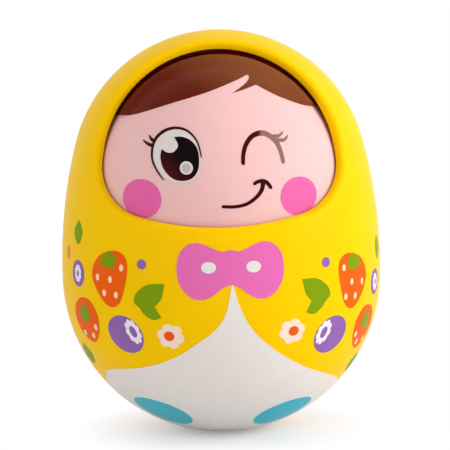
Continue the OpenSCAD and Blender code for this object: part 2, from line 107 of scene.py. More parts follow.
# Arcs of the egg's side: base, flank and crown, each tangent to the next
BASE_Z = math.sqrt(BASE_R**2 - FOOT_R**2)
CROWN_Z = HEIGHT - CROWN_R
RISE = CROWN_Z - BASE_Z
FLANK_UP = (RISE**2 + (CROWN_R - BASE_R) * (2 * FLANK_R - BASE_R - CROWN_R)) / (2 * RISE)
FLANK_Z = BASE_Z + FLANK_UP
FLANK_X = math.sqrt((FLANK_R - BASE_R) ** 2 - FLANK_UP**2)
FOOT_TILT = -math.acos(FOOT_R / BASE_R)
BASE_TILT = math.atan2(-FLANK_UP, FLANK_X)
CROWN_TILT = math.atan2(CROWN_Z - FLANK_Z, FLANK_X)
BASE_LEN = BASE_R * (BASE_TILT - FOOT_TILT)
FLANK_LEN = FLANK_R * (CROWN_TILT - BASE_TILT)


def egg_arc(length):
    """Centre, radius and tilt of the egg's side at a length up from the foot."""
    if length < BASE_LEN:
        return (0, BASE_Z), BASE_R, FOOT_TILT + length / BASE_R
    if length < BASE_LEN + FLANK_LEN:
        return (-FLANK_X, FLANK_Z), FLANK_R, BASE_TILT + (length - BASE_LEN) / FLANK_R
    return (0, CROWN_Z), CROWN_R, CROWN_TILT + (length - BASE_LEN - FLANK_LEN) / CROWN_R


def side_length(z):
    """Length up the egg's side from the foot to a height."""
    if z < BASE_Z + BASE_R * math.sin(BASE_TILT):
        return BASE_R * (math.asin((z - BASE_Z) / BASE_R) - FOOT_TILT)
    if z < CROWN_Z + CROWN_R * math.sin(CROWN_TILT):
        return BASE_LEN + FLANK_R * (math.asin((z - FLANK_Z) / FLANK_R) - BASE_TILT)
    return BASE_LEN + FLANK_LEN + CROWN_R * (math.asin((z - CROWN_Z) / CROWN_R) - CROWN_TILT)


def egg_radius(z, inset=0):
    """Radius of the egg at a height, drawn in by an inset."""
    if z < BASE_Z + (BASE_R - inset) * math.sin(BASE_TILT):
        return math.sqrt((BASE_R - inset) ** 2 - (z - BASE_Z) ** 2)
    if z < CROWN_Z + (CROWN_R - inset) * math.sin(CROWN_TILT):
        return math.sqrt((FLANK_R - inset) ** 2 - (z - FLANK_Z) ** 2) - FLANK_X
    return math.sqrt((CROWN_R - inset) ** 2 - (z - CROWN_Z) ** 2)


def egg_depth(place):
    """How far a place lies under the outside of the egg."""
    ring = math.hypot(place.x, place.y)
    if math.atan2(place.z - CROWN_Z, ring) > CROWN_TILT:
        return CROWN_R - math.hypot(ring, place.z - CROWN_Z)
    if math.atan2(place.z - BASE_Z, ring) < BASE_TILT:
        return BASE_R - math.hypot(ring, place.z - BASE_Z)
    return FLANK_R - math.hypot(ring + FLANK_X, place.z - FLANK_Z)


def body_wrap(x, y, out):
    """Place on the egg of a flat drawing: x is the way round at the base radius, y the way up."""
    (centre_x, centre_z), radius, tilt = egg_arc(y)
    ring = centre_x + (radius + out) * math.cos(tilt)
    turn = x / BASE_R
    height = centre_z + (radius + out) * math.sin(tilt)
    return Vector((ring * math.sin(turn), -ring * math.cos(turn), height))


def head_wrap(x, y, out):
    """Place on the head of a flat drawing centred on the front of the nod axis."""
    away = math.hypot(x, y)
    if away == 0:
        return NOD + Vector((0, -HEAD_R - out, 0))
    angle = away / HEAD_R
    side = Vector((x, 0, y)) / away
    return NOD + (HEAD_R + out) * (math.sin(angle) * side - math.cos(angle) * Vector((0, 1, 0)))


def on_body(turn, height, points, mirrored=False):
    """Flat drawing of an outline in mm, set round the body by degrees to the viewer's right and mm up."""
    ring = egg_radius(height * MM)
    up = side_length(height * MM)
    flip = -1 if mirrored else 1
    return [((math.radians(turn) + flip * x * MM / ring) * BASE_R, up + y * MM) for x, y in points]


def on_face(points):
    """Flat drawing of an outline in front-view mm from the nod axis."""
    flat = []
    for x, y in points:
        away = math.hypot(x, y) * MM
        stretch = HEAD_R * math.asin(away / HEAD_R) / away
        flat.append((x * MM * stretch, y * MM * stretch))
    return flat


# Outlines, in mm
def smooth(points, steps=6, closed=True):
    """Curve through points; a point given twice is a corner."""
    n = len(points)
    spans = n if closed else n - 1
    line = []
    for i in range(spans):
        a, b, c, d = (points[k % n] if closed else points[min(max(k, 0), n - 1)]
                      for k in range(i - 1, i + 3))
        if b == c:
            continue
        for k in range(steps):
            t = k / steps
            line.append(tuple(
                0.5 * (2 * q + (r - p) * t + (2 * p - 5 * q + 4 * r - s) * t**2
                       + (3 * q - p - 3 * r + s) * t**3)
                for p, q, r, s in zip(a, b, c, d)))
    return line if closed else line + [points[-1]]


def oval(x, y, rx, ry, tilt=0, points=28):
    """Ellipse with its long axis turned by a tilt in degrees."""
    c, s = math.cos(math.radians(tilt)), math.sin(math.radians(tilt))
    turns = [2 * math.pi * i / points for i in range(points)]
    return [(x + rx * math.cos(t) * c - ry * math.sin(t) * s,
             y + rx * math.cos(t) * s + ry * math.sin(t) * c) for t in turns]


# Points on each petal, and the power that rounds its tip
PETAL_POINTS = 12
PETAL_ROUNDNESS = 0.7


def rosette(x, y, rx, ry, petals, depth, tilt):
    """Ring of round petals, turned by a tilt in degrees."""
    c, s = math.cos(math.radians(tilt)), math.sin(math.radians(tilt))
    line = []
    for i in range(PETAL_POINTS * petals):
        t = 2 * math.pi * i / (PETAL_POINTS * petals)
        r = 1 - depth + depth * 2 * abs(math.sin(petals * t / 2)) ** PETAL_ROUNDNESS
        u, v = rx * r * math.cos(t), ry * r * math.sin(t)
        line.append((x + u * c - v * s, y + u * s + v * c))
    return line


def brush(points, widths):
    """Brush stroke along a curve, its width given at the start, the middle and the end, with round ends."""
    line = smooth(points, steps=8, closed=False)
    n = len(line) - 1
    left, right, directions = [], [], []
    for i, (x, y) in enumerate(line):
        (x0, y0), (x1, y1) = line[max(i - 1, 0)], line[min(i + 1, n)]
        angle = math.atan2(y1 - y0, x1 - x0)
        t = 2 * i / n
        if t < 1:
            width = widths[0] + (widths[1] - widths[0]) * t
        else:
            width = widths[1] + (widths[2] - widths[1]) * (t - 1)
        half = width / 2
        left.append((x - half * math.sin(angle), y + half * math.cos(angle)))
        right.append((x + half * math.sin(angle), y - half * math.cos(angle)))
        directions.append((angle, half))

    def cap(centre, angle, half):
        return [(centre[0] + half * math.cos(angle + a), centre[1] + half * math.sin(angle + a))
                for a in (math.radians(d) for d in (-60, -30, 0, 30, 60))]

    end = cap(line[-1], *directions[-1])
    start = cap(line[0], directions[0][0] + math.pi, directions[0][1])
    return right + end + left[::-1] + start


def mirror(points):
    """An outline with its left and right exchanged."""
    return [(-x, y) for x, y in points]


# Materials
def linear(code):
    """Linear colour of an sRGB hex value."""
    parts = [int(code[i:i + 2], 16) / 255 for i in (0, 2, 4)]
    return (*[c / 12.92 if c <= 0.04045 else ((c + 0.055) / 1.055) ** 2.4 for c in parts], 1)


def node(tree, kind, inputs=None, **settings):
    """Adds a node; an input takes a value or another node's output."""
    made = tree.nodes.new(kind)
    for key, value in settings.items():
        setattr(made, key, value)
    for key, value in (inputs or {}).items():
        if isinstance(value, bpy.types.NodeSocket):
            tree.links.new(value, made.inputs[key])
        else:
            made.inputs[key].default_value = value
    return made


def material(name):
    """New material with a bare shader; gives the material, its tree, the shader and object coordinates."""
    made = bpy.data.materials.new(name)
    made.use_nodes = True
    tree = made.node_tree
    tree.nodes.clear()
    shader = node(tree, "ShaderNodeBsdfPrincipled")
    node(tree, "ShaderNodeOutputMaterial", {"Surface": shader.outputs["BSDF"]})
    return made, tree, shader, node(tree, "ShaderNodeTexCoord").outputs["Object"]


def mottled(tree, shader, place, colours, tone_mm, rough, rough_mm):
    """Colour that drifts between two tones and roughness that drifts between two values."""
    tone = node(tree, "ShaderNodeTexNoise", {"Vector": place, "Scale": 1 / (tone_mm * MM), "Detail": 3})
    blend = node(tree, "ShaderNodeMix", {"Factor": tone.outputs["Fac"]}, data_type="RGBA")
    blend.inputs["A"].default_value = linear(colours[0])
    blend.inputs["B"].default_value = linear(colours[1])
    tree.links.new(blend.outputs["Result"], shader.inputs["Base Color"])
    polish = node(tree, "ShaderNodeTexNoise", {"Vector": place, "Scale": 1 / (rough_mm * MM), "Detail": 2})
    spread = node(tree, "ShaderNodeMapRange",
                  {"Value": polish.outputs["Fac"], "To Min": rough[0], "To Max": rough[1]})
    tree.links.new(spread.outputs["Result"], shader.inputs["Roughness"])


def bumpy(tree, shader, place, grain_mm, depth_mm, detail=2):
    """Fine relief of a surface."""
    grain = node(tree, "ShaderNodeTexNoise",
                 {"Vector": place, "Scale": 1 / (grain_mm * MM), "Detail": detail})
    relief = node(tree, "ShaderNodeBump",
                  {"Height": grain.outputs["Fac"], "Distance": depth_mm * MM, "Strength": 0.5})
    tree.links.new(relief.outputs["Normal"], shader.inputs["Normal"])


# Strength of the mirror reflection, 0.5 being a full one; the photograph shows almost none
PLASTIC_SHINE = 0.03
INK_SHINE = 0.05

# Light that passes into the plastic: its share, and how deep it goes
GLOW_SHARE = 0.2
GLOW_DEPTH = 4 * MM


def moulded_abs(name, colours, glow=None):
    """ABS moulded in a polished tool: an even colour with a very soft shine and slight orange peel.

    A glow lets light into the wall, most of it red, so that a narrow gap shows deep red and not black.
    """
    made, tree, shader, place = material(name)
    shader.inputs["IOR"].default_value = 1.54
    shader.inputs["Specular IOR Level"].default_value = PLASTIC_SHINE
    if glow:
        shader.inputs["Subsurface Weight"].default_value = GLOW_SHARE
        shader.inputs["Subsurface Radius"].default_value = glow
        shader.inputs["Subsurface Scale"].default_value = GLOW_DEPTH
    mottled(tree, shader, place, colours, 14, (0.32, 0.42), 9)
    bumpy(tree, shader, place, 2.2, 0.012)
    return made


def printed_ink(name, colours):
    """Pad-printed ink: a thin even film with a very soft shine and faint flow in its tone."""
    made, tree, shader, place = material(name)
    shader.inputs["IOR"].default_value = 1.5
    shader.inputs["Specular IOR Level"].default_value = INK_SHINE
    mottled(tree, shader, place, colours, 5, (0.34, 0.44), 4)
    bumpy(tree, shader, place, 1.4, 0.008)
    return made


def zinc_steel():
    """Zinc-plated steel: bright grey metal with a soft crystalline mottle from the plating bath."""
    made, tree, shader, place = material("zinc_plated_steel")
    shader.inputs["Metallic"].default_value = 1
    mottled(tree, shader, place, ("C4C8CC", "AEB4BA"), 1.2, (0.28, 0.42), 0.6)
    return made


def nickel_bell():
    """Nickel-plated spun brass: a warm bright metal with fine spinning lines round the bell."""
    made, tree, shader, place = material("nickel_plated_brass")
    shader.inputs["Metallic"].default_value = 1
    mottled(tree, shader, place, ("DAD4C6", "C9C2B2"), 6, (0.12, 0.22), 2)
    lines = node(tree, "ShaderNodeTexWave", {"Vector": place, "Scale": 1 / (0.8 * MM), "Distortion": 0.4},
                 wave_type="BANDS", bands_direction="Z")
    relief = node(tree, "ShaderNodeBump",
                  {"Height": lines.outputs["Fac"], "Distance": 0.01 * MM, "Strength": 0.4})
    tree.links.new(relief.outputs["Normal"], shader.inputs["Normal"])
    return made


def cast_iron():
    """Cast iron as it leaves the sand: dark grey, dull and pitted."""
    made, tree, shader, place = material("sand_cast_iron")
    shader.inputs["Metallic"].default_value = 0.7
    mottled(tree, shader, place, ("3E3E41", "29292B"), 3, (0.6, 0.8), 1.5)
    bumpy(tree, shader, place, 0.7, 0.08, 5)
    return made


def natural_nylon():
    """Uncoloured nylon: milky, soft-edged in its gloss."""
    made, tree, shader, place = material("natural_nylon")
    shader.inputs["IOR"].default_value = 1.53
    mottled(tree, shader, place, ("EDE9DC", "E2DDCC"), 4, (0.42, 0.55), 2)
    bumpy(tree, shader, place, 0.5, 0.01)
    return made


def frame_plastic():
    """Recycled polypropylene for a part that never shows: pale blue-grey and matt."""
    made, tree, shader, place = material("grey_polypropylene")
    shader.inputs["IOR"].default_value = 1.49
    mottled(tree, shader, place, ("9FB0C3", "8B9DB2"), 7, (0.5, 0.65), 3)
    bumpy(tree, shader, place, 0.6, 0.02)
    return made


def graded_ink(name, colours, axis, start, end):
    """Ink whose tone runs between two colours along a direction, from one distance to another."""
    made, tree, shader, place = material(name)
    shader.inputs["IOR"].default_value = 1.5
    shader.inputs["Specular IOR Level"].default_value = INK_SHINE
    shader.inputs["Roughness"].default_value = 0.38
    along = node(tree, "ShaderNodeVectorMath", {0: place, 1: axis}, operation="DOT_PRODUCT")
    fade = node(tree, "ShaderNodeMapRange",
                {"Value": along.outputs["Value"], "From Min": start, "From Max": end})
    blend = node(tree, "ShaderNodeMix", {"Factor": fade.outputs["Result"]}, data_type="RGBA")
    blend.inputs["A"].default_value = linear(colours[0])
    blend.inputs["B"].default_value = linear(colours[1])
    tree.links.new(blend.outputs["Result"], shader.inputs["Base Color"])
    bumpy(tree, shader, place, 1.4, 0.008)
    return made


def iris_ink():
    """Black eye ink that warms to a deep red towards the lower left, where it is printed thinner."""
    low = NOD.z - 9 * MM
    return graded_ink("iris_ink", ("4A060C", "0C0102"), (1, 0, 1), low, low + 8 * MM)


def hair_ink_painted_sheen():
    """Brown ink, a deep red-brown low on the left, with painted sheen and painted light: it lightens to tan
    towards the crown and the right.
    """
    low = 86 * MM
    return graded_ink("hair_brown_ink_painted_sheen", ("641602", "824824"), (0.45, 0, 0.9), low, low + 14 * MM)


def wink_ink_painted_sheen():
    """Dark line ink with a painted sheen: it turns to a pale brown towards the right, the lit side."""
    return graded_ink("wink_ink_painted_sheen", ("3E0605", "8C685E"), (1, 0, 0), 10.6 * MM, 11.6 * MM)


# The two tones of the yellow plastic
YELLOW = ("FFCB00", "FCC500")

# Finish of each slot of the solids
MATERIALS = {
    "shell_abs": moulded_abs("yellow_moulded_abs", YELLOW, (1, 0.3, 0.05)),
    "face_abs": moulded_abs("pink_moulded_abs", ("F3C3C0", "F0BDBB"), (1, 0.4, 0.35)),
    "natural_nylon": natural_nylon(),
    "frame_plastic": frame_plastic(),
    "weight_iron": cast_iron(),
    "bell_nickel": nickel_bell(),
    "zinc_steel": zinc_steel(),
}

# Colours of the print; the hair and wink inks also carry painted sheen
INKS = {
    "white": printed_ink("white_ink", ("E8E2DE", "E3DCD8")),
    "cream": printed_ink("cream_ink", ("FBDDB4", "F7D6A8")),
    "petal": printed_ink("petal_ink", ("F8E0CC", "F4D8C4")),
    "lilac": printed_ink("pale_lilac_ink", ("F2E6F2", "EDE0EE")),
    "pink": printed_ink("bow_pink_ink", ("E670B4", "E068AE")),
    "cheek": printed_ink("cheek_pink_ink", ("EA69AC", "E463A4")),
    "red": printed_ink("strawberry_ink", ("F26208", "EC5906")),
    "amber": printed_ink("amber_ink", ("F08E24", "EA861C")),
    "orange": printed_ink("orange_ink", ("EA5C20", "E4551A")),
    "green": printed_ink("leaf_green_ink", ("829D08", "789304")),
    "purple": printed_ink("berry_purple_ink", ("9369AF", "8960A5")),
    "teal": printed_ink("teal_ink", ("46B8CC", "3EB0C4")),
    # Hair ink with painted sheen and painted light: lighter towards the crown and the right
    "brown": hair_ink_painted_sheen(),
    "line": printed_ink("dark_line_ink", ("3A0605", "320504")),
    "eye": printed_ink("eye_white_ink", ("E2D8D4", "DED3CF")),
    "grey": printed_ink("eye_light_grey_ink", ("C2BABA", "BCB4B4")),
    "iris": iris_ink(),
    # Wink ink with painted sheen: pale brown towards the right
    "wink": wink_ink_painted_sheen(),
}


# Pieces
def only(obj):
    """Selects one object alone."""
    bpy.ops.object.select_all(action="DESELECT")
    obj.select_set(True)
    bpy.context.view_layer.objects.active = obj


def flat_sheet(outline):
    """Flat face of an outline, drawn from a filled circle."""
    area = sum(x0 * y1 - x1 * y0 for (x0, y0), (x1, y1) in zip(outline, outline[1:] + outline[:1]))
    line = outline if area > 0 else outline[::-1]
    bpy.ops.object.select_all(action="DESELECT")
    bpy.ops.mesh.primitive_circle_add(vertices=len(line), radius=1, fill_type="NGON")
    sheet = bpy.context.object
    face_up = sheet.data.polygons[0].normal.z > 0
    for vertex, (x, y) in zip(sheet.data.vertices, line if face_up else line[::-1]):
        vertex.co = (x, y, 0)
    sheet.data.update()
    if sheet.data.polygons[0].normal.z < 0:
        only(sheet)
        bpy.ops.object.mode_set(mode="EDIT")
        bpy.ops.mesh.select_all(action="SELECT")
        bpy.ops.mesh.flip_normals()
        bpy.ops.object.mode_set(mode="OBJECT")
    return sheet


def dice(sheet, cell):
    """Cuts a flat sheet into cells small enough to follow a curved surface."""
    xs = [v.co.x for v in sheet.data.vertices]
    ys = [v.co.y for v in sheet.data.vertices]
    only(sheet)
    bpy.ops.object.mode_set(mode="EDIT")
    bpy.ops.mesh.select_all(action="SELECT")
    bpy.ops.mesh.quads_convert_to_tris(ngon_method="BEAUTY")
    for low, high, across in ((min(xs), max(xs), (1, 0, 0)), (min(ys), max(ys), (0, 1, 0))):
        for i in range(math.floor(low / cell) + 1, math.ceil(high / cell)):
            bpy.ops.mesh.select_all(action="SELECT")
            bpy.ops.mesh.bisect(plane_co=Vector(across) * i * cell, plane_no=across)
    bpy.ops.object.mode_set(mode="OBJECT")


def thicken(obj, thickness, way=1):
    """Gives a sheet its thickness, outwards or inwards, and smooth shading."""
    only(obj)
    wall = obj.modifiers.new("wall", "SOLIDIFY")
    wall.thickness = thickness
    wall.offset = way
    bpy.ops.object.modifier_apply(modifier=wall.name)
    bpy.ops.object.shade_smooth_by_angle(angle=SMOOTH_ANGLE)


def finish_piece(obj, name, body, finish):
    """Names a piece, gives it its finish, and sets the body that it rides on."""
    obj.name = name
    obj.data.name = name
    obj.data.materials.clear()
    obj.data.materials.append(finish)
    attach(obj, body)


def print_film(name, outlines, layer, finish, head=False, side=None, cell=INK_CELL):
    """One colour of the print: flat outlines laid on the body or the head as a thin film of ink.

    A side trims the film at that distance to the left and the right.
    """
    sheets = [flat_sheet(line) for line in outlines]
    only(sheets[0])
    for sheet in sheets[1:]:
        sheet.select_set(True)
    if len(sheets) > 1:
        bpy.ops.object.join()
    film = bpy.context.object
    dice(film, cell)
    wrap = head_wrap if head else body_wrap
    for vertex in film.data.vertices:
        vertex.co = wrap(vertex.co.x, vertex.co.y, -INK_SUNK)
    if side:
        only(film)
        bpy.ops.object.mode_set(mode="EDIT")
        for way in (-1, 1):
            bpy.ops.mesh.select_all(action="SELECT")
            bpy.ops.mesh.bisect(plane_co=(way * side, 0, 0), plane_no=(way, 0, 0), clear_outer=True)
        bpy.ops.object.mode_set(mode="OBJECT")
    thicken(film, INK_SUNK + layer * INK_STEP)
    finish_piece(film, name, "head" if head else "body", INKS[finish])
    return film


# Print of the body. Places are degrees to the viewer's right and mm up; outlines are mm on the surface.
STRAWBERRY = smooth([(0.5, 7.7), (3.4, 7.6), (5.7, 5.9), (6.2, 2.9), (5.3, -1.6), (3.6, -5.8), (1.0, -7.6),
                     (-1.9, -7.0), (-5.0, -3.9), (-7.2, 0.0), (-6.7, 3.3), (-3.7, 6.4)])
STRAWBERRY_CAP = smooth([(0.0, 7.8), (0.0, 7.8), (2.2, 5.8), (1.3, 2.9), (1.3, 2.9), (-1.8, 3.2),
                         (-4.1, 4.5), (-4.1, 4.5), (-2.5, 6.5)])
STRAWBERRY_SEEDS = [[(4.2, 3.3), (-4.9, 0.2), (0.1, -0.1), (-2.3, -3.9), (2.1, -4.2)],
                    [(4.0, 4.0), (-4.7, -0.7), (0.6, -0.2), (-1.2, -4.3), (3.2, -4.1)]]
SMALL_STRAWBERRY = smooth([(-0.8, 6.3), (2.7, 5.8), (5.3, 3.0), (5.7, -0.5), (4.3, -3.9), (1.3, -6.5),
                           (-2.0, -6.2), (-5.4, -4.0), (-7.2, -0.7), (-6.4, 2.7), (-4.0, 5.2)])
SMALL_CAP = smooth([(-0.4, 4.4), (1.9, 2.2), (1.0, 0.2), (-1.1, -0.7), (-3.2, 0.2), (-2.8, 2.8)])
SMALL_SEEDS = [(3.7, -1.8), (1.4, -4.5), (-3.2, -4.2)]
TWIN_LEAF = smooth([(5.0, 4.9), (5.0, 4.9), (0.4, 4.7), (-3.1, 2.6), (-4.4, -0.1), (-2.6, -1.9),
                    (-1.6, -3.3), (0.4, -4.7), (2.0, -4.9), (3.7, -4.2), (3.7, -4.2), (2.0, -1.3),
                    (2.0, -1.3), (3.8, 0.6), (4.5, 2.6)])
SIDE_LEAF = smooth([(0, 3.4), (0, 3.4), (2.3, 0.7), (1.6, -2.2), (0.3, -3.5), (0.3, -3.5), (-1.8, -2.0),
                    (-2.5, 0.7)])
HALF_BOW = [(1.4, 4.5), (2.6, 4.4), (4.6, 5.2), (6.9, 6.2), (9.3, 6.8), (11.9, 6.0), (13.9, 3.5), (14.5, 0),
            (14.1, -3.4), (12.4, -6.4), (9.8, -8.2), (7.0, -8.3), (4.4, -7.0), (2.4, -5.4)]
BOW = smooth([(0, 4.8)] + HALF_BOW + [(0, -4.5)] + mirror(HALF_BOW)[::-1])

# Places of the print
BOW_AT = (3.3, 52.2)
STRAWBERRIES_AT = [(-41.2, 48.4), (52.0, 45.9)]
SMALL_STRAWBERRIES_AT = [(-56.2, 36.0), (64.0, 31.8)]
BERRIES_AT = [(-36.2, 33.5), (42.3, 31.9)]
SMALL_BERRIES_AT = [(-59.9, 48.7), (70.4, 43.8)]
TWIN_LEAVES_AT = [(-25.6, 43.0), (34.6, 43.3)]
SIDE_LEAVES_AT = [(-60.2, 60.1), (74.5, 53.4)]
LOW_LEAVES_AT = [(-67.5, 25), (72.5, 20.5)]
DAISIES_AT = [(-18.2, 33.6), (25.1, 34.1)]
DOTS_AT = [(-27.7, 53.0), (38.3, 52.1)]
ORANGE_DOTS_AT = [(-69, 53.8), (88, 50)]
SHOES_AT = [(-34.7, 9.8), (34.7, 9.0)]

# The apron's edge from its lower left end over its point to its lower right end, in degrees and mm up
APRON_EDGE = [(-95, 1), (-95, 1), (-88, 5), (-78, 10), (-69, 15), (-62.5, 18.6), (-58.5, 20.6),
              (-53, 21.7), (-47, 22.4), (-36, 23.5), (-25, 25.4), (-16, 28.2), (-9.9, 31.1), (-3, 35),
              (1, 39.2), (2.8, 44.5), (3.7, 49), (3.7, 49), (5.2, 44), (7.4, 39.4), (10.3, 35.6),
              (13.8, 32.6), (21.1, 28.2), (29.8, 24.6), (38, 22.1), (53, 18.8), (64, 16.8), (70, 14.8),
              (78, 10.5), (88, 5), (95, 1), (95, 1)]


def both(outline, places):
    """An outline on the left, and its mirror image on the right."""
    return [on_body(*place, outline, mirrored=place[0] > 0) for place in places]


def many(shapes, places):
    """Several outlines, each at all of the places."""
    return [line for shape in shapes for line in both(shape, places)]


def print_body():
    """The apron, the shoes, the bow, the fruit and the flowers."""
    apron = [(math.radians(t) * BASE_R, side_length(z * MM)) for t, z in smooth(APRON_EDGE)]
    print_film("apron", [apron], 1, "white")
    print_film("shoes", both(oval(-1.6, -1.6, 9.3, 7.0, -25, 40), SHOES_AT), 2, "teal")
    print_film("bow", [on_body(*BOW_AT, BOW)], 2, "pink")
    print_film("bow_spots", [on_body(*BOW_AT, oval(x, 0.2, 2.0, 1.55)) for x in (-5.9, 6.1)], 3, "white")
    print_film("strawberries",
               both(STRAWBERRY, STRAWBERRIES_AT) + both(SMALL_STRAWBERRY, SMALL_STRAWBERRIES_AT), 1, "red")
    print_film("strawberry_caps",
               both(STRAWBERRY_CAP, STRAWBERRIES_AT) + both(SMALL_CAP, SMALL_STRAWBERRIES_AT), 2, "green")
    seeds = [line for spots, place in zip(STRAWBERRY_SEEDS, STRAWBERRIES_AT)
             for line in many([oval(x, y, 0.7, 0.95, points=14) for x, y in spots], [place])]
    seeds += many([oval(x, y, 0.7, 0.9, points=14) for x, y in SMALL_SEEDS], SMALL_STRAWBERRIES_AT)
    print_film("strawberry_seeds", seeds, 2, "cream")
    print_film("leaves", both(TWIN_LEAF, TWIN_LEAVES_AT) + both(SIDE_LEAF, SIDE_LEAVES_AT)
               + both([(1.5 * x, y) for x, y in SIDE_LEAF], LOW_LEAVES_AT), 1, "green")
    print_film("berries", both(oval(-0.3, -0.2, 6.1, 5.4, -20), BERRIES_AT)
               + both(oval(0, 0, 3.6, 3.7), SMALL_BERRIES_AT)
               + both(oval(0, 0, 1.45, 1.35, points=20), DOTS_AT), 1, "purple")
    print_film("berry_flowers", both(rosette(2.7, 0.9, 3.4, 2.1, 9, 0.1, -67), BERRIES_AT)
               + both(rosette(0, 0, 2.3, 1.8, 8, 0.08, 90), SMALL_BERRIES_AT), 2, "lilac")
    print_film("berry_eyes", both(oval(2.7, 0.9, 1.75, 1.0, -67, 20), BERRIES_AT)
               + both(oval(0, 0, 0.6, 0.9, points=18), SMALL_BERRIES_AT), 3, "purple")
    print_film("daisies", both(rosette(0, 0, 3.5, 3.25, 6, 0.12, 15), DAISIES_AT), 1, "petal")
    print_film("daisy_centres", both(oval(-0.4, 0.1, 1.5, 1.4, points=20), DAISIES_AT), 2, "orange")
    print_film("orange_dots", both(oval(0, 0, 1.5, 1.9, points=18), ORANGE_DOTS_AT), 1, "amber")


# Print of the face, in front-view mm from the nod axis
HAIRLINE = smooth([(-28.4, 20.0), (-25.0, 20.1), (-21.7, 20.7), (-12.0, 23.6), (-3.0, 26.2), (4.8, 29.1),
                   (8.1, 30.6), (8.1, 30.6), (8.6, 29.8), (7.4, 28.2), (4.0, 25.9), (4.0, 25.9),
                   (7.2, 26.8), (10.4, 27.9), (10.4, 27.9), (16.4, 24.7), (23.0, 22.1), (27.4, 21.3)],
                  closed=False)
EYE_WHITE = smooth([(-17.9, 11.3), (-16.8, 13.8), (-14.6, 15.9), (-11.2, 16.9), (-7.8, 15.9), (-5.7, 13.4),
                    (-4.6, 9.7), (-4.95, 7.3), (-5.5, 5.4), (-7.2, 3.4), (-10.2, 2.75), (-12.9, 3.3),
                    (-15.4, 5.3), (-17.3, 8.4)])
EYE_LINE = [(-14.8, 3.6), (-16.7, 6.3), (-17.8, 9.6), (-17.1, 13.6), (-14.6, 16.2), (-11.2, 17.1),
            (-8.0, 16.2), (-5.6, 13.4), (-4.6, 9.5)]
IRIS = smooth([(-11.8, 14.7), (-11.8, 14.7), (-9.7, 14.8), (-7.4, 13.9), (-5.7, 11.8), (-5.2, 8.9),
               (-5.6, 6.0), (-7.3, 3.9), (-10.1, 3.3), (-12.6, 4.1), (-14.7, 6.4), (-15.5, 9.3),
               (-15.2, 11.6), (-15.2, 11.6), (-13.6, 10.7), (-12.1, 10.8), (-11.0, 11.8), (-10.8, 13.0)])
WINK = [(6.4, 7.7), (6.5, 9.9), (7.2, 12.4), (8.9, 14.6), (11.3, 15.4), (13.4, 14.7), (15.4, 12.8),
        (16.5, 10.3), (17.1, 7.6)]
LASHES = [[(-17.6, 12.5), (-18.9, 12.9), (-20.1, 13.8)], [(-17.1, 13.7), (-17.9, 14.1), (-18.5, 15.1)],
          [(14.7, 14.4), (16.2, 14.5), (17.2, 15.4)], [(15.7, 13.4), (17.5, 13.3), (18.5, 14.4)]]
MOUTH = [(0.9, -3.6), (4.1, -3.7), (7.1, -3.1), (9.6, -1.5), (11.2, 0.5), (11.6, 2.5)]
MOUTH_END = [(9.35, 2.25), (10.1, 2.7), (11.2, 2.9), (12.3, 2.6), (13.0, 1.95), (13.6, 1.05)]

# Each cheek's place and its two radii
CHEEKS = [(-20.8, -1.7, 5.35, 5.3), (21.2, -1.75, 5.0, 5.2)]

# The hair's end over the top of the head, in degrees from the front, its steps there, its distance from the
# flat sides of the head, and the size of its facets
HAIR_END = 118
HAIR_STEPS = 40
HAIR_SIDE_GAP = 0.2 * MM
HAIR_CELL = 1.0 * MM

# Rolled rim of the hair: its height, its place inside the hood's arch, its reach behind and in front, the
# height at which it dies out, and the power that shapes its section
ROLL_TOP = 2.0 * MM
ROLL_IN = 1.1 * MM
ROLL_BACK = 3.8 * MM
ROLL_FRONT = 3.6 * MM
ROLL_LEAST = 0.1 * MM
ROLL_POWER = 1.4


def hair_outline():
    """The hairline, carried on round the sides and over the top of the head."""
    front = on_face(HAIRLINE)
    far = HEAD_R * math.radians(HAIR_END)
    start = math.atan2(front[-1][1], front[-1][0])
    end = math.atan2(front[0][1], front[0][0])
    turns = [start + (end - start) * i / HAIR_STEPS for i in range(HAIR_STEPS + 1)]
    return front + [(far * math.cos(t), far * math.sin(t)) for t in turns]


def roll_height(place):
    """How far the hair's rolled rim stands out at a place on the head: most just inside the hood's arch."""
    ray = (place - NOD).normalized()
    start = NOD - Vector((0, 0, CROWN_Z))
    along = start.dot(ray)
    reach = math.sqrt(along**2 - start.length_squared + (CROWN_R - WALL) ** 2) - along
    spot = NOD + reach * ray
    if spot.y > 0:
        return 0
    arch_z = OPENING_TOP - ARCH_R
    away = math.hypot(spot.x, spot.z - arch_z)
    inside = ARCH_R - away - ROLL_IN
    if inside < 0:
        share = 1 + inside / ROLL_BACK
    else:
        share = math.cos(math.pi / 2 * min(inside / ROLL_FRONT, 1)) ** 2
    return max(0, ROLL_TOP * (spot.z - arch_z) / away - ROLL_LEAST) * max(0, share) ** ROLL_POWER


def print_hair():
    """The hair: a film of ink over the head that swells to a rolled rim along the hood's arch."""
    hair = print_film("hair", [hair_outline()], 1, "brown", head=True, side=HEAD_SIDE - HAIR_SIDE_GAP,
                      cell=HAIR_CELL)
    for vertex in hair.data.vertices:
        if (vertex.co - NOD).length > HEAD_R:
            vertex.co += roll_height(vertex.co) * (vertex.co - NOD).normalized()
    hair.data.update()


